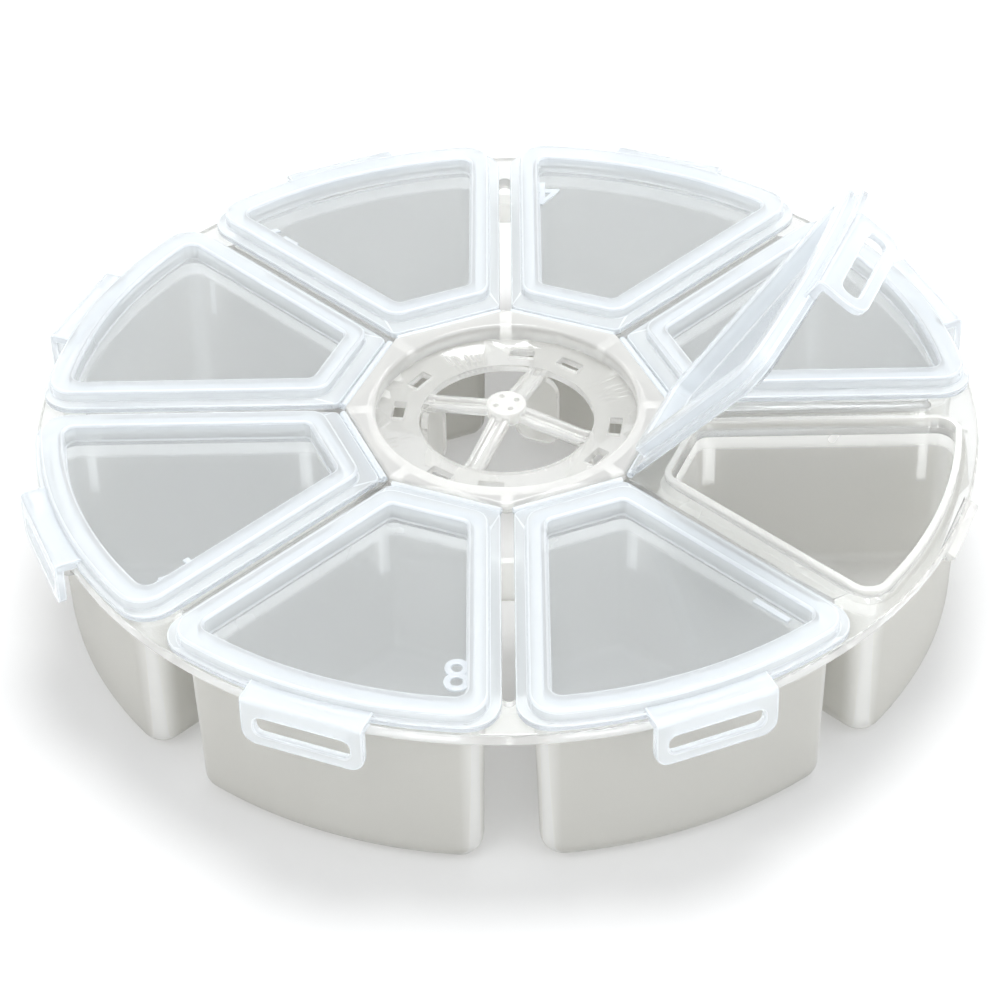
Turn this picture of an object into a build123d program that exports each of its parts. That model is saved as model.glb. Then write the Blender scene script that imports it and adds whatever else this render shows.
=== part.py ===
from build123d import *
import math
import os

# Round storage box with eight wedge compartments, each under its own hinged lid.
# Millimetres, +Z up, origin on the table under the middle of the box, front at -Y.

# Layout of the compartments
sector_count = 8
first_sector_angle = 292.5
open_sector = 2
open_angle = 56.0

# Flange of the tray
rim_radius = 80.0
tray_height = 30.4
flange_thickness = 2.2
rim_edge_round = 0.5
slot_width = 2.1
slot_end_setback = 7.5

# Compartment cups, hung under the flange
cup_gap = 7.5
cup_rim_setback = 2.4
cup_hub_setback = 5.2
cup_wall = 1.5
cup_floor = 1.5
cup_draft = 1.4
mouth_outer_corner = 3.0
mouth_hub_corner = 2.5
cup_bottom_round = 3.0

# Bead that stands round each mouth
bead_height = 1.2
bead_width = 1.1
bead_round = 0.4
bead_clearance = 0.3

# Webs that tie neighbouring cups together under each slot
inner_web_setback = 9.0
inner_web_thickness = 1.2
inner_web_drop = 4.0
inner_web_depth = 8.4
outer_web_setback = 9.1
outer_web_thickness = 0.9
outer_web_depth = 6.6

# Catches that the latch loops snap over
catch_width = 14.0
catch_reach = 1.1
catch_root = 1.5
catch_height = 2.0
catch_tip_height = 0.4
catch_drop = 3.6

# Hub ring
ring_apothem = 25.4
ring_rise = 1.9
ring_round = 0.6
ring_land = 1.8
well_wall = 1.2
hub_fit = 0.2
hub_plate_drop = 1.2
hub_plate_thickness = 1.4
hub_plate_width = 7.4
hub_window_length = 4.4
hub_window_width = 2.2
hub_window_turn = 14.0

# Hub spider, with a spoke at every second sector
spoke_width = 3.2
spoke_lift = 2.5
spoke_foot = 1.6
spoke_channel_width = 1.4
spoke_channel_depth = 0.6
boss_radius = 3.4
boss_rise = 0.7
boss_hole_radius = 0.5
boss_hole_pitch = 1.9
tongue_width = 8.0
tongue_length = 14.0
tongue_thickness = 1.2
tongue_end_round = 3.0

# Hinge line of each lid, beside the hub ring
hinge_setback = 0.7
hinge_rise = 0.9
hinge_barrel_radius = 0.6
hinge_running_gap = 0.2
hinge_strap_length = 2.0

# Lids
lid_seat_gap = 0.25
lid_edge_gap = 2.1
lid_rim_setback = 0.1
lid_start = 0.8
lid_wall = 0.9
lid_top_thickness = 1.0
ledge_thickness = 1.2
ledge_corner = 5.5
ledge_hub_corner = 1.5
ledge_round = 0.25
border_rise = 3.4
border_rim_setback = 1.0
border_corner = 4.6
border_hub_corner = 3.4
border_round = 0.5
plug_clearance = 0.2
window_thickness = 1.0
window_sink = 0.1

# Latches
latch_width = 20.6
latch_block_rise = 1.9
latch_reach = 2.8
latch_loop_thickness = 1.5
latch_drop = 7.1
latch_leg = 2.2
latch_window_height = 3.5
latch_window_drop = 1.5
latch_window_corner = 1.3
latch_corner = 2.6
latch_edge_round = 0.9

# How far a cutting tool runs past the face that it opens, and what counts as one height
overrun = 1.0
same_height = 0.01

# Derived places
sector_angle = 360.0 / sector_count
half_angle = math.radians(sector_angle / 2)
flange_bottom = tray_height - flange_thickness
well_radius = ring_apothem - ring_land
hub_hole_radius = well_radius + hub_fit
hub_plate_top = tray_height - hub_plate_drop
hub_plate_bottom = hub_plate_top - hub_plate_thickness
hub_plate_bore = well_radius - well_wall - hub_plate_width
mouth_gap = cup_gap + 2 * cup_wall
mouth_radius = rim_radius - cup_rim_setback - cup_wall
mouth_apothem = ring_apothem + cup_hub_setback + cup_wall
slot_end_radius = rim_radius - slot_end_setback
hinge_apothem = ring_apothem + hinge_setback
hinge_height = tray_height + hinge_rise
lid_bottom = tray_height + lid_seat_gap
ledge_top = lid_bottom + ledge_thickness
border_top = tray_height + border_rise
border_inset = bead_width + bead_clearance + lid_wall
window_inset = plug_clearance + lid_wall
window_top = lid_bottom - window_sink
window_bottom = window_top - window_thickness
lid_radius = rim_radius - lid_rim_setback
border_radius = rim_radius - border_rim_setback
latch_face_radius = rim_radius + latch_reach


def sector_centre(number):
    return first_sector_angle + sector_angle * (number - 1)


def wedge(gap, apothem, radius, outer_corner, hub_corner):
    """Outline of one sector about +X: two sides parallel to the gap lines, an arc and a chord."""
    side = gap / 2
    hub_y = apothem * math.tan(half_angle) - side / math.cos(half_angle)
    reach = math.sqrt(radius**2 - side**2)
    outer_x = reach * math.cos(half_angle) + side * math.sin(half_angle)
    outer_y = reach * math.sin(half_angle) - side * math.cos(half_angle)
    with BuildSketch() as sketch:
        with BuildLine():
            Polyline((outer_x, -outer_y), (apothem, -hub_y), (apothem, hub_y), (outer_x, outer_y))
            ThreePointArc((outer_x, outer_y), (radius, 0), (outer_x, -outer_y))
        make_face()
        fillet(sketch.vertices().group_by(Axis.X)[-1], outer_corner)
        fillet(sketch.vertices().group_by(Axis.X)[0], hub_corner)
    return sketch.sketch


def mouth_outline(inset):
    """The compartment's mouth, drawn in by an inset that is negative for what stands round it."""
    return wedge(
        mouth_gap + 2 * inset,
        mouth_apothem + inset,
        mouth_radius - inset,
        mouth_outer_corner - inset,
        mouth_hub_corner - inset,
    )


def border_outline(inset):
    """Raised border of a lid, drawn in by an inset. Its inside clears the bead round the mouth."""
    return wedge(
        mouth_gap - 2 * border_inset + 2 * inset,
        mouth_apothem - border_inset + inset,
        border_radius - inset,
        border_corner - inset,
        border_hub_corner - inset,
    )


def prism(face, bottom, top):
    return extrude(Pos(0, 0, bottom) * face, top - bottom)


def edges_at(shape, height):
    return shape.edges().filter_by_position(Axis.Z, height - same_height, height + same_height)


def turned(shape, angle):
    return Rot(0, 0, angle) * shape


def make_flange():
    """Top flange with its slots, mouths, beads and catches."""
    flange = prism(Circle(rim_radius), flange_bottom, tray_height)
    flange = fillet(flange.edges(), rim_edge_round)
    flange -= prism(Circle(hub_hole_radius), flange_bottom - overrun, tray_height + overrun)
    bead = prism(mouth_outline(-bead_width), tray_height, tray_height + bead_height)
    bead = fillet(edges_at(bead, tray_height + bead_height), bead_round)
    mouth = prism(mouth_outline(0), flange_bottom - overrun, tray_height + bead_height + overrun)
    slot_length = slot_end_radius - slot_width / 2
    slot = Pos(slot_length / 2, 0) * SlotCenterToCenter(slot_length, slot_width)
    slot = prism(slot, flange_bottom - overrun, tray_height + overrun)
    catch = make_catch()
    for number in range(1, sector_count + 1):
        angle = sector_centre(number)
        flange += turned(bead, angle)
        flange += turned(catch, angle)
        flange -= turned(mouth, angle)
        flange -= turned(slot, angle + sector_angle / 2)
    return flange


def make_catch():
    """Tapered bar on the edge of the flange, behind the window of the latch loop."""
    high = tray_height - catch_drop + catch_height
    middle = high - catch_height / 2
    low = high - catch_height
    root = rim_radius - catch_root
    tip = rim_radius + catch_reach
    with BuildSketch(Plane.XZ) as profile:
        with BuildLine():
            Polyline(
                (root, low),
                (rim_radius, low),
                (tip, middle - catch_tip_height / 2),
                (tip, middle + catch_tip_height / 2),
                (rim_radius, high),
                (root, high),
                (root, low),
            )
        make_face()
    return extrude(profile.sketch, catch_width / 2, both=True)


def cup_body(inset, bottom, bottom_round):
    """Drafted wedge below the flange, rounded along its bottom edge."""
    outline = mouth_outline(inset)
    body = extrude(Pos(0, 0, flange_bottom) * outline, bottom - flange_bottom, taper=cup_draft)
    return fillet(edges_at(body, bottom), bottom_round)


def make_web(radius, thickness, top, depth):
    """Thin upright plate across the gap on the counter-clockwise side of a cup."""
    plate = Pos(radius, 0, top - depth) * Box(
        thickness, mouth_gap, depth, align=(Align.CENTER, Align.CENTER, Align.MIN)
    )
    return turned(plate, sector_angle / 2)


def make_cup():
    """Open wedge cup with the two webs that reach its counter-clockwise neighbour."""
    outside = cup_body(-cup_wall, 0, cup_bottom_round)
    inside = cup_body(0, cup_floor, cup_bottom_round - cup_wall)
    neighbour = turned(outside, sector_angle)
    inner_radius = ring_apothem + inner_web_setback
    outer_radius = rim_radius - outer_web_setback
    inner_top = tray_height - inner_web_drop
    webs = make_web(inner_radius, inner_web_thickness, inner_top, inner_web_depth)
    webs += make_web(outer_radius, outer_web_thickness, flange_bottom, outer_web_depth)
    return outside + (webs - neighbour) - inside


def make_hub_ring():
    """Octagonal ring, the round well below it and the annular plate at its foot."""
    corner_turn = first_sector_angle + sector_angle / 2
    octagon = RegularPolygon(ring_apothem, sector_count, major_radius=False, rotation=corner_turn)
    ring_top = tray_height + ring_rise
    ring = prism(octagon, tray_height, ring_top)
    ring += prism(Circle(well_radius), hub_plate_bottom, tray_height)
    ring -= prism(Circle(hub_plate_bore), hub_plate_bottom - overrun, hub_plate_top + overrun)
    ring -= prism(Circle(well_radius - well_wall), hub_plate_top, ring_top + overrun)
    ring = fillet(edges_at(ring, ring_top), ring_round)
    groove = Rot(90, 0, 0) * Cylinder(hinge_barrel_radius + hinge_running_gap, 2 * ring_apothem)
    groove = Pos(hinge_apothem, 0, hinge_height) * groove
    for number in range(1, sector_count + 1):
        ring -= turned(groove, sector_centre(number))
    window = Pos(hub_plate_bore + hub_plate_width / 2, 0) * Rectangle(
        hub_window_width, hub_window_length
    )
    window = prism(window, hub_plate_bottom - overrun, hub_plate_top + overrun)
    for number in range(2, sector_count + 1, 2):
        ring -= turned(window, sector_centre(number) - hub_window_turn)
        ring -= turned(window, sector_centre(number) + hub_window_turn)
    return ring


def spoke_bar(bottom, top, width):
    """Bar that leaves the plate level along its foot and climbs to the middle of the hub."""
    foot = hub_plate_bore - spoke_foot
    end = hub_plate_bore + overrun
    with BuildSketch(Plane.XZ) as side:
        with BuildLine():
            Polyline(
                (0, bottom + spoke_lift),
                (foot, bottom),
                (end, bottom),
                (end, top),
                (foot, top),
                (0, top + spoke_lift),
                (0, bottom + spoke_lift),
            )
        make_face()
    return extrude(side.sketch, width / 2, both=True)


def make_hub_spider():
    """Channelled spokes, a drilled boss and the tongues that hang at the spoke ends."""
    spoke = spoke_bar(hub_plate_bottom, hub_plate_top, spoke_width)
    channel_floor = hub_plate_top - spoke_channel_depth
    channel = spoke_bar(channel_floor, hub_plate_top + overrun, spoke_channel_width)
    boss_bottom = hub_plate_bottom + spoke_lift - boss_rise
    boss_top = hub_plate_top + spoke_lift + boss_rise
    boss = prism(Circle(boss_radius), boss_bottom, boss_top)
    boss = fillet(boss.edges(), boss_rise / 2)
    hole = Pos(boss_hole_pitch, 0) * Circle(boss_hole_radius)
    hole = prism(hole, boss_bottom - overrun, boss_top + overrun)
    bore = prism(Circle(hub_plate_bore), hub_plate_bottom, boss_top)
    tongue = make_tongue()
    spider = boss
    for number in range(2, sector_count + 1, 2):
        angle = sector_centre(number)
        spider += turned((spoke - channel) & bore, angle)
        spider += turned(tongue, angle)
    for number in range(2, sector_count + 1, 2):
        spider -= turned(hole, sector_centre(number) + sector_angle)
    return spider


def make_tongue():
    """Curved tongue with a rounded end, hanging just inside the bore of the plate."""
    section = Circle(hub_plate_bore) - Circle(hub_plate_bore - tongue_thickness)
    shell = prism(section, hub_plate_bottom - tongue_length, hub_plate_bottom)
    with BuildSketch(Plane.YZ) as front:
        with Locations((0, hub_plate_bottom - tongue_length / 2)):
            Rectangle(tongue_width, tongue_length)
        fillet(front.vertices().group_by(Axis.Z)[0], tongue_end_round)
    return shell & extrude(front.sketch, hub_plate_bore + overrun)


def make_lid():
    """Lid of the sector about +X: ledge, hollow raised border, sunk window and hinge barrel."""
    ledge_outline = wedge(
        lid_edge_gap, hinge_apothem + lid_start, lid_radius, ledge_corner, ledge_hub_corner
    )
    ledge = prism(ledge_outline, lid_bottom, ledge_top)
    ledge = fillet(edges_at(ledge, ledge_top), ledge_round)
    border = prism(border_outline(0), lid_bottom, border_top)
    border = fillet(edges_at(border, border_top), border_round)
    channel = prism(border_outline(lid_wall), lid_bottom - overrun, border_top - lid_top_thickness)
    tub = prism(mouth_outline(plug_clearance), window_bottom, border_top - border_round)
    hollow = prism(mouth_outline(window_inset), window_top, border_top + overrun)
    return ledge + border - channel + tub - hollow + make_hinge()


def make_hinge():
    """Round edge that turns beside the hub ring, and the strap that ties it to the lid."""
    length = 2 * hinge_apothem * math.tan(half_angle) - lid_edge_gap
    barrel = Pos(hinge_apothem, 0, hinge_height) * Rot(90, 0, 0) * Cylinder(
        hinge_barrel_radius, length
    )
    strap = Pos(hinge_apothem, 0, hinge_height - hinge_barrel_radius) * Box(
        hinge_strap_length,
        length,
        hinge_barrel_radius,
        align=(Align.MIN, Align.CENTER, Align.MIN),
    )
    return barrel + strap


def make_latch():
    """Lip outside the border of a lid and the loop that hangs from it past the rim."""
    root = border_radius - overrun
    loop_inner = latch_face_radius - latch_loop_thickness
    loop_bottom = tray_height - latch_drop
    block_top = tray_height + latch_block_rise
    with BuildSketch(Plane.XZ) as side:
        with BuildLine():
            Polyline(
                (root, lid_bottom),
                (loop_inner, lid_bottom),
                (loop_inner, loop_bottom),
                (latch_face_radius, loop_bottom),
                (latch_face_radius, block_top),
                (root, block_top),
                (root, lid_bottom),
            )
        make_face()
    latch = extrude(side.sketch, latch_width / 2, both=True)
    latch -= prism(Circle(lid_radius), lid_bottom - overrun, ledge_top)
    latch -= prism(Circle(border_radius), ledge_top, block_top + overrun)
    latch = fillet(edges_at(latch, loop_bottom).filter_by(Axis.X), latch_corner)
    top_front = edges_at(latch, block_top).filter_by(Axis.Y).sort_by(Axis.X)[-1]
    latch = fillet(top_front, latch_edge_round)
    window_middle = tray_height - latch_window_drop - latch_window_height / 2
    with BuildSketch(Plane.YZ) as front:
        with Locations((0, window_middle)):
            RectangleRounded(latch_width - 2 * latch_leg, latch_window_height, latch_window_corner)
    return latch - Pos(rim_radius, 0) * extrude(front.sketch, latch_reach + overrun)


def opened(shape, angle):
    """Swings a lid piece about +X up by an angle about its hinge line."""
    hinge = Pos(hinge_apothem, 0, hinge_height)
    return hinge * Rot(0, -angle, 0) * hinge.inverse() * shape


def write(shape, name):
    solids = shape.solids()
    export_step(Compound(children=solids) if len(solids) > 1 else solids[0], f"parts/{name}.step")


def main():
    os.makedirs("parts", exist_ok=True)
    write(make_flange(), "tray_flange")
    write(make_hub_ring(), "hub_ring")
    write(make_hub_spider(), "hub_spider")
    cup = make_cup()
    lid = make_lid()
    latch = make_latch()
    for number in range(1, sector_count + 1):
        angle = sector_centre(number)
        lift = open_angle if number == open_sector else 0
        write(turned(cup, angle), f"cup_{number}")
        write(turned(opened(lid, lift), angle), f"lid_{number}")
        write(turned(opened(latch, lift), angle), f"latch_{number}")


main()
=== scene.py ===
import math

import bmesh
import bpy
from mathutils import Matrix, Vector

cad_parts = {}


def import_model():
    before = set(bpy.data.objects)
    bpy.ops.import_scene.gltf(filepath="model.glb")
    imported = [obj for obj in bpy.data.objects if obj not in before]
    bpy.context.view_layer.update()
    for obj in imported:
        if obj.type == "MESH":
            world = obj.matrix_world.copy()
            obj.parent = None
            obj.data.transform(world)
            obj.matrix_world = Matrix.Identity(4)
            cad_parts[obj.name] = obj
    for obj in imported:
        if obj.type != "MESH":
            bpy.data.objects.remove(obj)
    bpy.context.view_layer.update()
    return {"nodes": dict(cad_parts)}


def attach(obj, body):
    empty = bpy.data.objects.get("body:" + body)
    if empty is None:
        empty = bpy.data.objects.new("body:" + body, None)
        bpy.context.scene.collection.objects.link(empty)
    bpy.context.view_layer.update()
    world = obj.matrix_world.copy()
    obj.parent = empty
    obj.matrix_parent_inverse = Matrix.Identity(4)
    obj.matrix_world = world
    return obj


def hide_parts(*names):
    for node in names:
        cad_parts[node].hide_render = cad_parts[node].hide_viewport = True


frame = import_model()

millimetre = 0.001
sectorCount = 8
sectorTurn = 2 * math.pi / sectorCount
firstSector = math.radians(292.5)
openSector = 2
openLift = math.radians(56)

# Sizes are in millimetres in the row frame, as the CAD has them
traySizes = {
    "rim": 80.0,
    "top": 30.4,
    "flange": 2.2,
    "cupWall": 1.5,
    "draft": math.tan(math.radians(1.4)),
}
hinge = {"apothem": 26.1, "height": 31.3}
# The two sides of a wedge keep "side" from the middle of the gap beside them
mouth = {"side": 5.25, "hub": 32.1, "arc": 76.1, "outerCorner": 3.0, "hubCorner": 2.5}
ledge = {"side": 1.05, "hub": 26.9, "arc": 79.9, "outerCorner": 5.5, "hubCorner": 1.5}
border = {"side": 2.95, "hub": 29.8, "arc": 79.0, "outerCorner": 4.6, "hubCorner": 3.4}


def sectorAngle(number):
    return firstSector + sectorTurn * (number - 1)


def newMesh(bm, name, material, smoothAngle=35):
    # Turns a shape in millimetres into a shaded mesh in metres
    bmesh.ops.remove_doubles(bm, verts=bm.verts, dist=0.001)
    bmesh.ops.recalc_face_normals(bm, faces=bm.faces)
    bmesh.ops.scale(bm, vec=Vector((1, 1, 1)) * millimetre, verts=bm.verts)
    mesh = bpy.data.meshes.new(name)
    bm.to_mesh(mesh)
    bm.free()
    mesh.polygons.foreach_set("use_smooth", [True] * len(mesh.polygons))
    mesh.set_sharp_from_angle(angle=math.radians(smoothAngle))
    mesh.materials.append(material)
    return mesh


def newPiece(name, mesh, body, node=None, weighted=True):
    # A piece that rides on a body. With a node it takes that solid's place.
    piece = bpy.data.objects.new(name, mesh)
    bpy.context.scene.collection.objects.link(piece)
    if weighted:
        shading = piece.modifiers.new("evenShading", "WEIGHTED_NORMAL")
        shading.keep_sharp = True
        shading.weight = 80
    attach(piece, body)
    if node:
        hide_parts(node)
    return piece


def milked(mesh, low, high, edge=None, least=0.0):
    # Writes how milky the plastic looks at each point, from "least" below one height to 1 above another, and
    # 1 past an edge. The milky share brings its painted glow, and 1 past the edge paints a highlight line on
    # the rim.
    milkAndShine = mesh.attributes.new("milkAndShine", "FLOAT", "POINT")
    for point, value in zip(mesh.vertices, milkAndShine.data):
        share = (point.co.z / millimetre - low) / (high - low)
        if edge and math.hypot(point.co.x, point.co.y) / millimetre > edge:
            share = 1.0
        value.value = min(max(share, least), 1.0)


# Faces narrower than "width" are rounded edges, painted as highlight lines. "flat" is the milkiness of wider
# ones.
edgeLines = {"width": 0.26, "flat": 0.62, "below": 0.3}


def edgeMilked(mesh, low, high, least=0.0):
    # The same by face, for a moulding whose rounded edges show as bright lines: they take the full milky
    # share, a painted highlight with its painted glow
    milkAndShine = mesh.attributes.new("milkAndShine", "FLOAT", "FACE")
    for face, value in zip(mesh.polygons, milkAndShine.data):
        places = [mesh.vertices[index].co for index in face.vertices]
        around = sum((here - there).length for here, there in zip(places, places[1:] + places[:1]))
        width = 2 * face.area / around / millimetre
        height = face.center.z / millimetre
        share = min(max((height - low) / (high - low), 0.0), 1.0) * edgeLines["flat"]
        if width < edgeLines["width"] and height > low - edgeLines["below"]:
            share = 1.0
        value.value = max(share, least)


def hubTurn(number, lift=0.0):
    # Carries a piece made about +X to its sector, swung up about the hinge line
    line = Vector((hinge["apothem"], 0, hinge["height"])) * millimetre
    swing = Matrix.Translation(line) @ Matrix.Rotation(-lift, 4, "Y") @ Matrix.Translation(-line)
    return Matrix.Rotation(sectorAngle(number), 4, "Z") @ swing


def spunArc(bm, start, centre, turn, steps):
    # Walks a vertex round a centre and leaves edges behind it
    made = bmesh.ops.spin(
        bm, geom=[start], cent=(centre[0], centre[1], start.co.z), axis=(0, 0, 1), angle=turn, steps=steps
    )
    return [v for v in made["geom_last"] if isinstance(v, bmesh.types.BMVert)][0]


cupSizes = {
    "floor": 1.5,
    "bottomRound": 3.0,
    "insideRound": 1.5,
    "rimClearance": 0.02,
    "gap": 7.5,
    "webs": [
        {"radius": 34.4, "thickness": 1.2, "top": 26.4, "depth": 8.4, "shine": 1.1},
        {"radius": 70.9, "thickness": 0.9, "top": 28.18, "depth": 6.6, "shine": 0.8},
    ],
    "webSoftness": 0.2,
    "webSink": 0.05,
    "wallSteps": 6,
    "bottomSteps": 6,
    "insideSteps": 5,
}
wedgeSteps = {"hubCorner": 5, "outerCorner": 8, "arc": 40, "leastRound": 0.15}


def wedgeLoop(bm, shape, inset, height):
    # Closed outline of one sector about +X, drawn in by an inset
    half = sectorTurn / 2
    side = shape["side"] + inset
    hub = shape["hub"] + inset
    arc = shape["arc"] - inset
    outerRound = max(shape["outerCorner"] - inset, wedgeSteps["leastRound"])
    hubRound = max(shape["hubCorner"] - inset, wedgeSteps["leastRound"])
    bm.edges.ensure_lookup_table()
    firstEdge = len(bm.edges)
    hubX = hub + hubRound
    hubY = (hubX * math.sin(half) - side - hubRound) / math.cos(half)
    outerReach = math.sqrt((arc - outerRound) ** 2 - (side + outerRound) ** 2)
    outerLean = half - math.atan2(side + outerRound, outerReach)
    outer = Vector((math.cos(outerLean), math.sin(outerLean))) * (arc - outerRound)
    quarter = math.pi / 2

    start = bm.verts.new((hub, -hubY, height))
    here = spunArc(bm, start, (hubX, -hubY), quarter - half, wedgeSteps["hubCorner"])
    corner = Vector((outer.x, -outer.y)) + outerRound * Vector((-math.sin(half), -math.cos(half)))
    there = bm.verts.new((corner.x, corner.y, height))
    bm.edges.new((here, there))
    here = spunArc(bm, there, (outer.x, -outer.y), quarter + half - outerLean, wedgeSteps["outerCorner"])
    here = spunArc(bm, here, (0, 0), 2 * outerLean, wedgeSteps["arc"])
    here = spunArc(bm, here, (outer.x, outer.y), quarter + half - outerLean, wedgeSteps["outerCorner"])
    there = bm.verts.new((hub, hubY, height))
    last = spunArc(bm, there, (hubX, hubY), half - quarter, wedgeSteps["hubCorner"])
    bm.edges.new((here, last))
    bm.edges.new((there, start))
    bm.edges.ensure_lookup_table()
    return bm.edges[firstEdge:]


def turnedCorner(shape, inset, height, radius, back, ahead, steps=3):
    # A rounded corner of a wall's section: unit directions back along the wall and ahead
    corner = []
    for step in range(steps + 1):
        angle = math.pi / 2 * step / steps
        along = radius * (1 - math.sin(angle))
        onward = radius * (1 - math.cos(angle))
        across = along * back[0] + onward * ahead[0]
        rise = along * back[1] + onward * ahead[1]
        corner.append((shape, inset + across, height + rise))
    return corner


# Directions across a wall's section: in and out are across the sector, up and down are height
inward, outward, upward, downward = (1, 0), (-1, 0), (0, 1), (0, -1)


def sweptWall(bm, section):
    # Lays a loop at each point of the section, bridges them and closes both ends flat
    loops = [wedgeLoop(bm, shape, inset, height) for shape, inset, height in section]
    for first, second in zip(loops, loops[1:]):
        bmesh.ops.bridge_loops(bm, edges=first + second)
    for end in (loops[0], loops[-1]):
        bmesh.ops.contextual_create(bm, geom=end)


def softBlock(bm, low, high, softness):
    # An upright block between two corners with its edges rounded
    size = Vector(high) - Vector(low)
    middle = (Vector(high) + Vector(low)) / 2
    made = bmesh.ops.create_cube(bm, size=1)
    bmesh.ops.scale(bm, vec=size, verts=made["verts"])
    bmesh.ops.translate(bm, vec=middle, verts=made["verts"])
    edges = list(dict.fromkeys(edge for v in made["verts"] for edge in v.link_edges))
    made = bmesh.ops.bevel(
        bm, geom=edges, offset=softness, segments=2, profile=0.5, affect="EDGES", material=-1
    )
    return list(dict.fromkeys(v for face in made["faces"] for v in face.verts))


# Shader sums written as plain Python


class Wire:
    def __init__(self, tree, socket):
        self.tree = tree
        self.socket = socket

    def join(self, operation, first, second=None):
        node = self.tree.nodes.new("ShaderNodeMath")
        node.operation = operation
        for place, value in enumerate((first, second)):
            if isinstance(value, Wire):
                self.tree.links.new(value.socket, node.inputs[place])
            elif value is not None:
                node.inputs[place].default_value = value
        return Wire(self.tree, node.outputs[0])

    def __add__(self, other):
        return self.join("ADD", self, other)

    __radd__ = __add__

    def __mul__(self, other):
        return self.join("MULTIPLY", self, other)

    def __sub__(self, other):
        return self.join("SUBTRACT", self, other)

    def __rsub__(self, other):
        return self.join("SUBTRACT", other, self)

    def __truediv__(self, other):
        return self.join("DIVIDE", self, other)


class Shader:
    def __init__(self, name):
        self.material = bpy.data.materials.new(name)
        self.material.use_nodes = True
        self.tree = self.material.node_tree
        self.tree.nodes.clear()

    def node(self, kind, settings=None, values=None, output=0):
        made = self.tree.nodes.new(kind)
        for name, value in (settings or {}).items():
            setattr(made, name, value)
        for name, value in (values or {}).items():
            if isinstance(value, Wire):
                self.tree.links.new(value.socket, made.inputs[name])
            else:
                made.inputs[name].default_value = value
        return Wire(self.tree, made.outputs[output])

    def places(self):
        return self.node("ShaderNodeTexCoord", output="Object")

    def noise(self, scale, detail):
        return self.node(
            "ShaderNodeTexNoise", None, {"Vector": self.places(), "Scale": scale, "Detail": detail}, "Fac"
        )

    def bump(self, height, strength, distance):
        return self.node(
            "ShaderNodeBump", None, {"Height": height, "Strength": strength, "Distance": distance}
        )

    def range(self, value, low, high, newLow, newHigh):
        return self.node(
            "ShaderNodeMapRange",
            {"clamp": True},
            {"Value": value, "From Min": low, "From Max": high, "To Min": newLow, "To Max": newHigh},
        )

    def blend(self, share, first, second):
        return self.node(
            "ShaderNodeMix", {"data_type": "RGBA"}, {0: share, 6: first, 7: second}, 2
        )

    def finish(self, surface):
        out = self.tree.nodes.new("ShaderNodeOutputMaterial")
        self.tree.links.new(surface.socket, out.inputs["Surface"])
        return self.material


clearFinish = {
    "tint": (0.955, 0.978, 0.992, 1),
    "milkAndShine": (0.93, 0.967, 1.0, 1),
    "transmission": 0.88,
    "milkTransmission": 0.35,
    "milkAndShineShare": 0.55,
    # Emission of the milky part: a painted glow
    "milkGlow": 0.22,
    "ior": 1.49,
    "roughness": 0.06,
    "roughnessSpread": 0.04,
    "milkRoughness": 0.12,
    "ripple": 0.03,
    "rippleDepth": 0.0004,
    "flowScale": 40,
    "hazeScale": 900,
    "hazeShare": 0.1,
}


def clearPlastic(name, finish):
    # Clear moulded plastic, milkier where the mesh's own milkiness attribute is high. The milky part is
    # whiter and glows by emission, a painted glow, and where the attribute is full on rounded edges it
    # paints highlight lines.
    shader = Shader(name)
    flow = shader.noise(finish["flowScale"], 2)
    haze = shader.noise(finish["hazeScale"], 2)
    milkAndShineAttribute = shader.node("ShaderNodeAttribute", {"attribute_name": "milkAndShine"}, None, "Fac")
    rough = finish["roughness"] + flow * finish["roughnessSpread"]
    normal = shader.bump(flow + haze * finish["hazeShare"], finish["ripple"], finish["rippleDepth"])
    clear = shader.node(
        "ShaderNodeBsdfPrincipled",
        None,
        {
            "Base Color": finish["tint"],
            "Roughness": rough,
            "IOR": finish["ior"],
            "Transmission Weight": finish["transmission"],
            "Normal": normal,
        },
    )
    # The milky part: whiter, with a painted glow from its emission
    milkyGlowing = shader.node(
        "ShaderNodeBsdfPrincipled",
        None,
        {
            "Base Color": finish["milkAndShine"],
            "Roughness": rough + finish["milkRoughness"],
            "IOR": finish["ior"],
            "Transmission Weight": finish["milkTransmission"],
            "Emission Color": finish["milkAndShine"],
            "Emission Strength": finish["milkGlow"],
            "Normal": normal,
        },
    )
    return shader.finish(
        shader.node("ShaderNodeMixShader", None, {0: milkAndShineAttribute * finish["milkAndShineShare"], 1: clear, 2: milkyGlowing})
    )


frostFinish = {
    "outside": (0.80, 0.79, 0.745, 1),
    # The inner skin is painted paler than the outer one: painted light inside the cup
    "inside": (0.93, 0.925, 0.90, 1),
    # Colour of the painted highlights on the collar, the corners and the web bars
    "paintedShine": (0.97, 0.975, 0.965, 1),
    "transmission": 0.42,
    # Emission strength of the painted glow on the highlights and the inner skin
    "edgeLight": 0.2,
    # Painted glow on the inner skin
    "insideGlow": 0.26,
    "collarDepth": 4.8,
    "matteRoughness": 0.5,
    "brightRoughness": 0.2,
    "grain": 0.35,
    # How strongly the corners and the web bars are painted as highlights
    "cornerGlow": 0.6,
    "webGlow": 0.95,
    "webFoot": 18.2,
    "ior": 1.49,
    "grainScale": 3800,
    "grainDepth": 0.00006,
    "cloudScale": 60,
    "cloudShare": 0.12,
}

# Where each patch of the cup's finish fades, in millimetres past the size that it is measured from
frostFades = {
    "collarLine": (-0.2, 0.2),
    "collarRim": (0.4, 0.9),
    "cornerAcross": (-0.2, 2.6),
    "cornerAlong": (-4, -0.5),
    "webEdge": (-0.15, 0.15),
    "webFoot": (-0.3, 0.3),
    "webReach": (0.6, 1.2),
    "skinSide": (-0.5, -0.3),
    "skinArc": (0.3, 0.5),
    "skinHub": (-0.5, -0.3),
    "skinFloor": (-0.25, -0.15),
}


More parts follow.
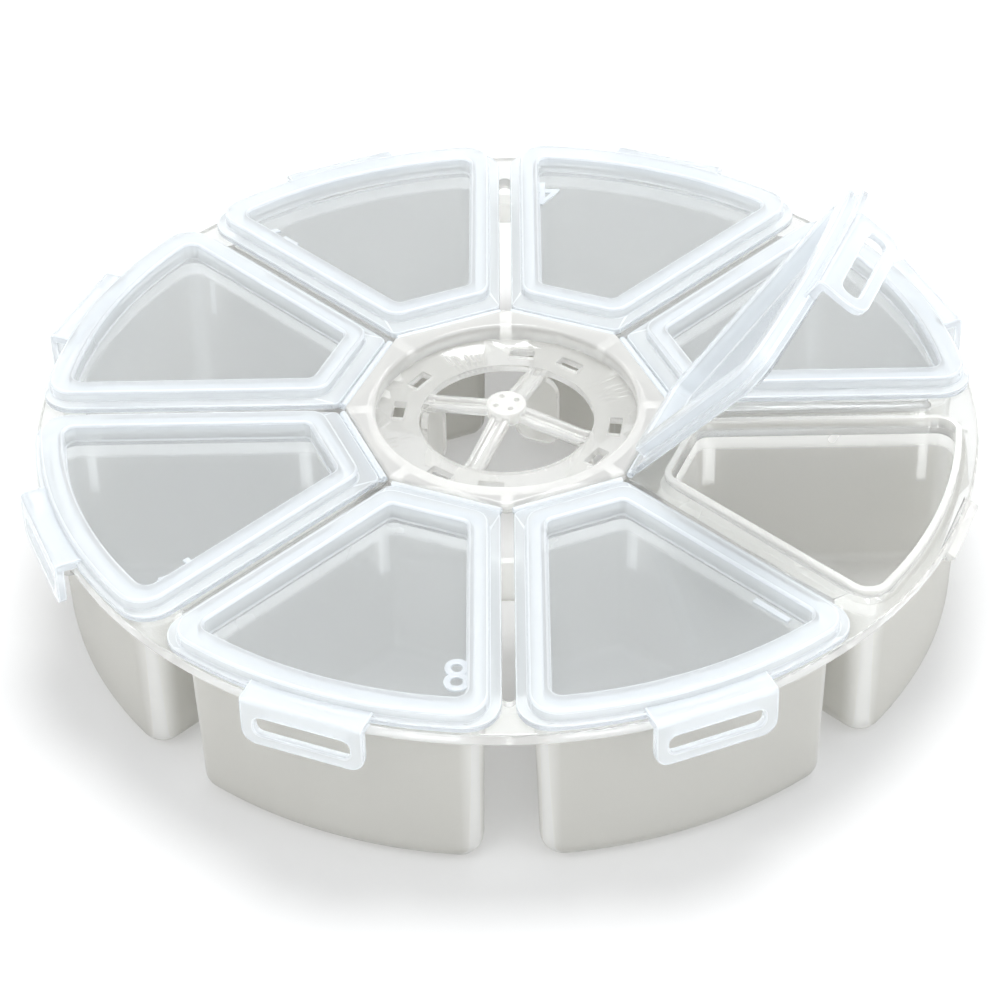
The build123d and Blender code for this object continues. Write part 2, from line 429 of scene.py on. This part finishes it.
def frostedPlastic(name, finish):
    # Spark-eroded matte wall, polished on the collar inside the mouth. Painted highlights: the collar, the
    # upright corners and a bar where a web stands behind the wall are painted pale and glow by emission.
    shader = Shader(name)
    places = shader.places()
    x = shader.node("ShaderNodeSeparateXYZ", None, {"Vector": places}, "X")
    y = shader.node("ShaderNodeSeparateXYZ", None, {"Vector": places}, "Y")
    z = shader.node("ShaderNodeSeparateXYZ", None, {"Vector": places}, "Z")
    radius = x.join("SQRT", x * x + y * y)
    fullTurn = y.join("ARCTAN2", y, x) + 2 * math.pi
    lean = fullTurn.join("PINGPONG", fullTurn, sectorTurn / 2)
    fromGap = radius * lean.join("SINE", lean) / millimetre
    alongGap = radius * lean.join("COSINE", lean) / millimetre
    fromMiddle = radius / millimetre
    height = z / millimetre

    def past(value, size, fade):
        near, far = frostFades[fade]
        return shader.range(value, size + near, size + far, 0, 1)

    def before(value, size, fade):
        return 1 - past(value, size, fade)

    collar = past(height, traySizes["top"] - finish["collarDepth"], "collarLine")
    collar = collar * before(fromMiddle, mouth["arc"], "collarRim")
    # Painted highlight at the upright corners
    corner = before(fromGap, mouth["side"], "cornerAcross")
    corner = corner * past(fromMiddle, mouth["arc"], "cornerAlong")
    glow = corner * finish["cornerGlow"]
    # Painted light bars where a web stands behind the wall
    for web in cupSizes["webs"]:
        offLine = (alongGap - web["radius"]).join("ABSOLUTE", alongGap - web["radius"])
        bar = before(offLine, web["shine"], "webEdge") * past(height, finish["webFoot"], "webFoot")
        bar = bar * before(fromGap, mouth["side"], "webReach")
        glow = glow.join("MAXIMUM", glow, bar * finish["webGlow"])
    paintedShine = collar.join("MAXIMUM", collar, glow)

    # The outer skin, told from the inner one by its distance from the gap, the rim, the hub and the foot
    middleLean = sectorTurn / 2 - lean
    fromHub = radius * middleLean.join("COSINE", middleLean) / millimetre
    skin = before(fromGap, mouth["side"], "skinSide")
    for outerFace in (
        past(fromMiddle, mouth["arc"], "skinArc"),
        before(fromHub, mouth["hub"], "skinHub"),
        before(height, cupSizes["floor"], "skinFloor"),
    ):
        skin = skin.join("MAXIMUM", skin, outerFace)

    grain = shader.noise(finish["grainScale"], 3)
    cloud = shader.noise(finish["cloudScale"], 2)
    # The inner skin gets the paler colour and a painted glow, painted light inside the cup; the painted
    # highlights go over both skins
    matte = shader.blend(skin, finish["inside"], finish["outside"])
    shade = shader.blend(paintedShine, matte, finish["paintedShine"])
    lit = (1 - skin) * finish["insideGlow"]
    shine = shader.blend(lit.join("MAXIMUM", lit, paintedShine), (0, 0, 0, 1), finish["paintedShine"])
    polish = finish["matteRoughness"] - finish["brightRoughness"]
    surface = shader.node(
        "ShaderNodeBsdfPrincipled",
        None,
        {
            "Base Color": shade,
            "Roughness": finish["matteRoughness"] + cloud * finish["cloudShare"] - collar * polish,
            "IOR": finish["ior"],
            "Transmission Weight": finish["transmission"],
            "Emission Color": shine,
            "Emission Strength": finish["edgeLight"],
            "Normal": shader.bump((1 - collar) * grain, finish["grain"], finish["grainDepth"]),
        },
    )
    return shader.finish(surface)


floorFinish = {
    "colour": (0.66, 0.66, 0.655, 1),
    "roughness": 0.9,
    "specular": 0.1,
    "light": (1, 1, 1, 1),
    "glow": 0.24,
}


def studioFloor(name, finish):
    shader = Shader(name)
    surface = shader.node(
        "ShaderNodeBsdfPrincipled",
        None,
        {
            "Base Color": finish["colour"],
            "Roughness": finish["roughness"],
            "Specular IOR Level": finish["specular"],
            "Emission Color": finish["light"],
            "Emission Strength": finish["glow"],
        },
    )
    return shader.finish(surface)


clearLidPlastic = clearPlastic("clearLidPlastic", clearFinish)
trayFinish = {
    **clearFinish,
    "tint": (0.965, 0.97, 0.955, 1),
    "milkAndShine": (0.97, 0.965, 0.94, 1),
    # Emission of the tray's milky part: a painted glow
    "milkGlow": 0.24,
}
clearTrayPlastic = clearPlastic("clearTrayPlastic", trayFinish)
frostedCupPlastic = frostedPlastic("frostedCupPlastic", frostFinish)
floorPaper = studioFloor("floorPaper", floorFinish)
print("materials made")


# Cups

def leaningWall(face, top, bottom, radius):
    # Points down a drafted wall from its top to where the bottom round starts
    points = []
    steps = cupSizes["wallSteps"]
    for step in range(steps + 1):
        height = top + (bottom + radius - top) * step / steps
        below = traySizes["top"] - traySizes["flange"] - height
        points.append((mouth, face + below * traySizes["draft"], height))
    return points


def makeCup():
    sizes = cupSizes
    top = traySizes["top"] - traySizes["flange"] - sizes["rimClearance"]
    wall = traySizes["cupWall"]
    outerSkin = leaningWall(-wall, top, 0, sizes["bottomRound"])
    foot = outerSkin.pop()
    outerSkin += turnedCorner(
        mouth, foot[1], 0, sizes["bottomRound"], upward, inward, sizes["bottomSteps"]
    )
    innerSkin = leaningWall(0, top, sizes["floor"], sizes["insideRound"])
    foot = innerSkin.pop()
    innerSkin += turnedCorner(
        mouth, foot[1], sizes["floor"], sizes["insideRound"], upward, inward, sizes["insideSteps"]
    )
    bm = bmesh.new()
    sweptWall(bm, list(reversed(outerSkin)) + innerSkin)
    reach = sizes["gap"] / 2 + sizes["webSink"]
    for web in sizes["webs"]:
        half = web["thickness"] / 2
        low = (web["radius"] - half, -reach, web["top"] - web["depth"])
        high = (web["radius"] + half, reach, web["top"])
        corners = softBlock(bm, low, high, sizes["webSoftness"])
        bmesh.ops.rotate(
            bm, verts=corners, cent=(0, 0, 0), matrix=Matrix.Rotation(sectorTurn / 2, 3, "Z")
        )
    return newMesh(bm, "cup", frostedCupPlastic)


cupMesh = makeCup()
for number in range(1, sectorCount + 1):
    mesh = cupMesh.copy()
    mesh.transform(hubTurn(number))
    newPiece(f"frostedCup{number}", mesh, "tray", f"cup_{number}")
print("cups made")


# Lids

lidSizes = {
    "bottom": 30.65,
    "ledgeTop": 31.85,
    "top": 33.8,
    "topThickness": 1.0,
    "wall": 0.9,
    "windowTop": 30.55,
    "windowBottom": 29.55,
    "windowInset": 1.1,
    "plugInset": 0.2,
    "edgeRound": 0.45,
    "footRound": 0.25,
    "channelRound": 0.1,
    "strap": 2.0,
    "strapSoftness": 0.1,
    "barrel": 0.6,
    "barrelSides": 20,
    "clearBelow": 0.1,
    "windowMilkAndShine": 0.12,
}


def makeLid():
    sizes = lidSizes
    wall = sizes["wall"]
    topRound = sizes["edgeRound"]
    foot = sizes["footRound"]
    channelTop = sizes["top"] - sizes["topThickness"]
    section = []
    section += turnedCorner(mouth, sizes["windowInset"], sizes["windowTop"], foot, inward, upward)
    section += turnedCorner(mouth, sizes["windowInset"], sizes["top"], topRound, downward, outward)
    section += turnedCorner(border, 0, sizes["top"], topRound, inward, downward)
    section += turnedCorner(border, 0, sizes["ledgeTop"], foot, upward, outward)
    section += turnedCorner(ledge, 0, sizes["ledgeTop"], foot, inward, downward)
    section += turnedCorner(ledge, 0, sizes["bottom"], foot, upward, inward)
    section += turnedCorner(border, wall, sizes["bottom"], sizes["channelRound"], outward, upward, 1)
    section += turnedCorner(border, wall, channelTop, foot, downward, inward, 2)
    section += turnedCorner(mouth, sizes["plugInset"], channelTop, foot, outward, downward, 2)
    section += turnedCorner(mouth, sizes["plugInset"], sizes["windowBottom"], foot, upward, inward)
    bm = bmesh.new()
    sweptWall(bm, section)
    length = hinge["apothem"] * math.tan(sectorTurn / 2) - ledge["side"]
    barrel = sizes["barrel"]
    softBlock(
        bm,
        (hinge["apothem"], -length, hinge["height"] - barrel),
        (hinge["apothem"] + sizes["strap"], length, hinge["height"]),
        sizes["strapSoftness"],
    )
    made = bmesh.ops.create_cone(
        bm, cap_ends=True, segments=sizes["barrelSides"], radius1=barrel, radius2=barrel, depth=2 * length
    )
    bmesh.ops.rotate(bm, verts=made["verts"], cent=(0, 0, 0), matrix=Matrix.Rotation(math.pi / 2, 3, "X"))
    bmesh.ops.translate(bm, verts=made["verts"], vec=(hinge["apothem"], 0, hinge["height"]))
    mesh = newMesh(bm, "lid", clearLidPlastic)
    # Milky borders with painted highlight lines on the rounded edges and the milky part's painted glow; the
    # window keeps a least share
    edgeMilked(mesh, sizes["windowTop"] + sizes["clearBelow"], sizes["ledgeTop"], sizes["windowMilkAndShine"])
    return mesh


def liftOf(number):
    return openLift if number == openSector else 0.0


lidMesh = makeLid()
for number in range(1, sectorCount + 1):
    mesh = lidMesh.copy()
    mesh.transform(hubTurn(number, liftOf(number)))
    newPiece(f"clearLid{number}", mesh, f"flap_{number}", f"lid_{number}")
print("lids made")


# Latches

latchSizes = {
    "halfWidth": 10.3,
    "root": 78.0,
    "top": 32.3,
    "ledgeTop": 31.85,
    "borderRadius": 79.0,
    "lidRadius": 79.9,
    "lidBottom": 30.65,
    "clearance": 0.02,
    "face": 82.8,
    "thickness": 1.5,
    "bottom": 23.3,
    "leg": 2.2,
    "windowTop": 28.9,
    "windowBottom": 25.4,
    "windowCorner": 1.3,
    "cornerRound": 2.6,
    "browRound": 0.9,
    "softness": 0.3,
    "flatAngle": 1,
    "sharpAngle": 40,
    "cutMargin": 3,
    "discSides": 256,
}


def cutBlock(low, high, corner):
    # A tool block for a Boolean cut, rounded along its X edges
    bm = bmesh.new()
    made = bmesh.ops.create_cube(bm, size=1)
    bmesh.ops.scale(bm, vec=Vector(high) - Vector(low), verts=made["verts"])
    bmesh.ops.translate(bm, vec=(Vector(high) + Vector(low)) / 2, verts=made["verts"])
    along = [e for e in bm.edges if abs(e.verts[0].co.x - e.verts[1].co.x) > 0.01]
    bmesh.ops.bevel(
        bm, geom=along, offset=corner, segments=5, profile=0.5, affect="EDGES", material=-1
    )
    return bm


def toolObject(bm, name):
    bmesh.ops.recalc_face_normals(bm, faces=bm.faces)
    mesh = bpy.data.meshes.new(name)
    bm.to_mesh(mesh)
    bm.free()
    tool = bpy.data.objects.new(name, mesh)
    bpy.context.scene.collection.objects.link(tool)
    return tool


def carved(solid, tools):
    # Applies Boolean cuts and returns the mesh, with the tools cleared away
    for tool in tools:
        cut = solid.modifiers.new("cut", "BOOLEAN")
        cut.operation = "DIFFERENCE"
        cut.solver = "EXACT"
        cut.object = tool
    bpy.context.view_layer.update()
    depsgraph = bpy.context.evaluated_depsgraph_get()
    mesh = bpy.data.meshes.new_from_object(solid.evaluated_get(depsgraph))
    for spare in [solid] + tools:
        bpy.data.objects.remove(spare)
    return mesh


def longEdges(bm, axis, where):
    # Edges that run along one axis and pass a test on both their ends
    found = []
    for edge in bm.edges:
        run = edge.verts[0].co - edge.verts[1].co
        if abs(run[axis]) > 0.9 * run.length and all(where(v.co) for v in edge.verts):
            found.append(edge)
    return found


def discTool(name, radius, low, high):
    bm = bmesh.new()
    made = bmesh.ops.create_cone(
        bm, cap_ends=True, segments=latchSizes["discSides"], radius1=radius, radius2=radius, depth=high - low
    )
    bmesh.ops.translate(bm, verts=made["verts"], vec=(0, 0, (low + high) / 2))
    return toolObject(bm, name)


def makeLatch():
    # The lip and its loop are one bar with a window, cut to the lid's ledge and border behind
    sizes = latchSizes
    half = sizes["halfWidth"]
    inner = sizes["face"] - sizes["thickness"]
    bm = bmesh.new()
    profile = [
        (sizes["root"], sizes["lidBottom"]),
        (inner, sizes["lidBottom"]),
        (inner, sizes["bottom"]),
        (sizes["face"], sizes["bottom"]),
        (sizes["face"], sizes["top"]),
        (sizes["root"], sizes["top"]),
    ]
    corners = [bm.verts.new((x, -half, z)) for x, z in profile]
    face = bm.faces.new(corners)
    made = bmesh.ops.extrude_face_region(bm, geom=[face])
    moved = [v for v in made["geom"] if isinstance(v, bmesh.types.BMVert)]
    bmesh.ops.translate(bm, vec=(0, 2 * half, 0), verts=moved)
    low = longEdges(bm, 0, lambda place: place.z < sizes["bottom"] + 0.01)
    bmesh.ops.bevel(
        bm, geom=low, offset=sizes["cornerRound"], segments=6, profile=0.5, affect="EDGES", material=-1
    )
    brow = longEdges(bm, 1, lambda place: place.z > sizes["top"] - 0.01 and place.x > inner)
    bmesh.ops.bevel(
        bm, geom=brow, offset=sizes["browRound"], segments=5, profile=0.5, affect="EDGES", material=-1
    )
    solid = toolObject(bm, "latchBlank")
    window = toolObject(
        cutBlock(
            (traySizes["rim"], -half + sizes["leg"], sizes["windowBottom"]),
            (sizes["face"] + sizes["cutMargin"], half - sizes["leg"], sizes["windowTop"]),
            sizes["windowCorner"],
        ),
        "latchWindow",
    )
    mesh = carved(solid, [window])
    bm = bmesh.new()
    bm.from_mesh(mesh)
    flatAngle = math.radians(sizes["flatAngle"])
    bmesh.ops.dissolve_limit(bm, angle_limit=flatAngle, verts=bm.verts, edges=bm.edges)
    sharpAngle = math.radians(sizes["sharpAngle"])
    sharp = [e for e in bm.edges if e.is_manifold and e.calc_face_angle() > sharpAngle]
    bmesh.ops.bevel(
        bm, geom=sharp, offset=sizes["softness"], segments=3, profile=0.5, affect="EDGES",
        clamp_overlap=True, material=-1,
    )
    bmesh.ops.recalc_face_normals(bm, faces=bm.faces)
    gap = sizes["clearance"]
    below = sizes["lidBottom"] - sizes["cutMargin"]
    above = sizes["top"] + sizes["cutMargin"]
    ledgeDisc = discTool("ledgeDisc", sizes["lidRadius"] + gap, below, sizes["ledgeTop"] + gap)
    borderDisc = discTool("borderDisc", sizes["borderRadius"] + gap, below, above)
    mesh = carved(toolObject(bm, "latchBar"), [ledgeDisc, borderDisc])
    bm = bmesh.new()
    bm.from_mesh(mesh)
    mesh = newMesh(bm, "latch", clearLidPlastic)
    # The whole loop stands above these heights, so all of it is milky, with the painted glow and painted
    # highlight lines on its rounded edges
    edgeMilked(mesh, sizes["bottom"] - 2, sizes["bottom"] - 1)
    return mesh


latchMesh = makeLatch()
for number in range(1, sectorCount + 1):
    mesh = latchMesh.copy()
    mesh.transform(hubTurn(number, liftOf(number)))
    newPiece(f"clearLatch{number}", mesh, f"flap_{number}", f"latch_{number}")
print("latches made")


# Flange and hub

carriedShapes = {
    "trayFlange": {"node": "tray_flange", "slot": "clear_flange", "milkAndShine": 0.15},
    "hubRing": {"node": "hub_ring", "slot": "clear_hub", "milkAndShine": 0.45},
    "hubSpider": {"node": "hub_spider", "slot": "clear_hub", "milkAndShine": 0.5},
}

# Milky above the flange's top, and a painted highlight line on its edge, in millimetres from the top and the
# rim
trayMilkAndShine = {"low": 0.1, "high": 1.0, "edge": 0.2, "smoothAngle": 30}


def joinedCopy(node, name, milkAndShine):
    # The frame's own shape with its loose triangles joined, so that curved faces shade evenly
    bm = bmesh.new()
    bm.from_mesh(frame["nodes"][node].data)
    bmesh.ops.scale(bm, vec=Vector((1, 1, 1)) / millimetre, verts=bm.verts)
    mesh = newMesh(bm, name, clearTrayPlastic, trayMilkAndShine["smoothAngle"])
    top = traySizes["top"]
    edge = traySizes["rim"] - trayMilkAndShine["edge"]
    milked(mesh, top + trayMilkAndShine["low"], top + trayMilkAndShine["high"], edge, milkAndShine)
    return mesh


for name, sizes in carriedShapes.items():
    mesh = joinedCopy(sizes["node"], name, sizes["milkAndShine"])
    newPiece(name, mesh, "tray", sizes["node"])
print("flange and hub made")


# Numbers on the lids

digitSizes = {
    "height": 7.2,
    "narrow": 0.9,
    "raised": 0.22,
    "softness": 0.06,
    "along": 66.6,
    "beside": 8.0,
    "bevelSteps": 1,
    "curveSteps": 6,
    "milkAndShineBelow": 0.3,
}


def makeDigit(number):
    # A plain raised number, its foot towards the rim
    sizes = digitSizes
    text = bpy.data.curves.new("digit", "FONT")
    text.body = str(number)
    text.size = sizes["height"]
    text.align_x = "CENTER"
    text.extrude = sizes["raised"]
    text.bevel_depth = sizes["softness"]
    text.bevel_resolution = sizes["bevelSteps"]
    text.resolution_u = sizes["curveSteps"]
    holder = bpy.data.objects.new("digit", text)
    bpy.context.scene.collection.objects.link(holder)
    bpy.context.view_layer.update()
    depsgraph = bpy.context.evaluated_depsgraph_get()
    mesh = bpy.data.meshes.new_from_object(holder.evaluated_get(depsgraph))
    bpy.data.objects.remove(holder)
    low = min(v.co.y for v in mesh.vertices)
    high = max(v.co.y for v in mesh.vertices)
    grow = sizes["height"] / (high - low)
    half = sectorTurn / 2
    x = sizes["along"] * math.cos(half) + sizes["beside"] * math.sin(half)
    y = sizes["along"] * math.sin(half) - sizes["beside"] * math.cos(half)
    centred = Matrix.Translation((0, -(low + high) / 2, 0))
    grown = Matrix.Diagonal((grow * sizes["narrow"], grow, 1, 1))
    turn = Matrix.Rotation(half + math.pi / 2, 4, "Z")
    mesh.transform(Matrix.Translation((x, y, lidSizes["windowTop"])) @ turn @ grown @ centred)
    bm = bmesh.new()
    bm.from_mesh(mesh)
    mesh = newMesh(bm, "digit", clearLidPlastic)
    # Milky towards the top, with the milky part's painted glow
    milked(mesh, lidSizes["windowBottom"], lidSizes["windowTop"] - sizes["milkAndShineBelow"])
    return mesh


for number in range(1, sectorCount + 1):
    mesh = makeDigit(number)
    mesh.transform(hubTurn(number, liftOf(number)))
    newPiece(f"lidNumber{number}", mesh, f"flap_{number}", weighted=False)
print("numbers made")


# Floor, light and camera

floorSizes = {"width": 6.0, "drop": 0.0002}
bm = bmesh.new()
bmesh.ops.create_grid(bm, x_segments=1, y_segments=1, size=floorSizes["width"] / 2)
floorMesh = bpy.data.meshes.new("studioFloor")
bm.to_mesh(floorMesh)
bm.free()
floorMesh.materials.append(floorPaper)
studioFloorPiece = bpy.data.objects.new("studioFloor", floorMesh)
studioFloorPiece.location.z = -floorSizes["drop"]
bpy.context.scene.collection.objects.link(studioFloorPiece)

lampTarget = Vector((0, 0, 0.02))
lampSizes = [
    {"name": "softKey", "place": (-0.9, -0.7, 1.3), "size": 1.1, "power": 5, "colour": (1, 0.99, 0.97)},
    {"name": "softFill", "place": (1.1, -0.5, 0.9), "size": 1.2, "power": 4, "colour": (0.97, 0.985, 1)},
    {"name": "softTop", "place": (0.1, 0.45, 1.7), "size": 0.8, "power": 19, "colour": (0.98, 0.99, 1)},
]
for sizes in lampSizes:
    light = bpy.data.lights.new(sizes["name"], "AREA")
    light.shape = "DISK"
    light.size = sizes["size"]
    light.energy = sizes["power"]
    light.color = sizes["colour"]
    lamp = bpy.data.objects.new(sizes["name"], light)
    lamp.location = sizes["place"]
    lamp.rotation_euler = (lampTarget - lamp.location).to_track_quat("-Z", "Y").to_euler()
    bpy.context.scene.collection.objects.link(lamp)

airLight = {"Color": (0.95, 0.97, 1, 1), "Strength": 0.6}
world = bpy.data.worlds.new("studioAir")
world.use_nodes = True
for name, value in airLight.items():
    world.node_tree.nodes["Background"].inputs[name].default_value = value
bpy.context.scene.world = world
bpy.context.scene.view_settings.view_transform = "Standard"

cameraSizes = {
    "elevation": 37.55,
    "azimuth": 0.4925,
    "distance": 0.52774,
    "roll": 1.281,
    "lens": 111.24,
    "shift": (-0.0065, -0.08836),
    "target": (0, 0, 0.0304),
    "sensor": 36,
    "clipStart": 0.01,
}
cameraData = bpy.data.cameras.new("photoCamera")
camera = bpy.data.objects.new("photoCamera", cameraData)
elevation = math.radians(cameraSizes["elevation"])
azimuth = math.radians(cameraSizes["azimuth"])
sight = Vector(
    (
        math.sin(azimuth) * math.cos(elevation),
        -math.cos(azimuth) * math.cos(elevation),
        math.sin(elevation),
    )
)
camera.location = Vector(cameraSizes["target"]) + sight * cameraSizes["distance"]
roll = Matrix.Rotation(-math.radians(cameraSizes["roll"]), 3, "Z")
camera.rotation_euler = (sight.to_track_quat("Z", "Y").to_matrix() @ roll).to_euler()
cameraData.lens = cameraSizes["lens"]
cameraData.sensor_width = cameraSizes["sensor"]
cameraData.shift_x, cameraData.shift_y = cameraSizes["shift"]
cameraData.clip_start = cameraSizes["clipStart"]
bpy.context.scene.collection.objects.link(camera)
bpy.context.scene.camera = camera
print("floor, light and camera made")
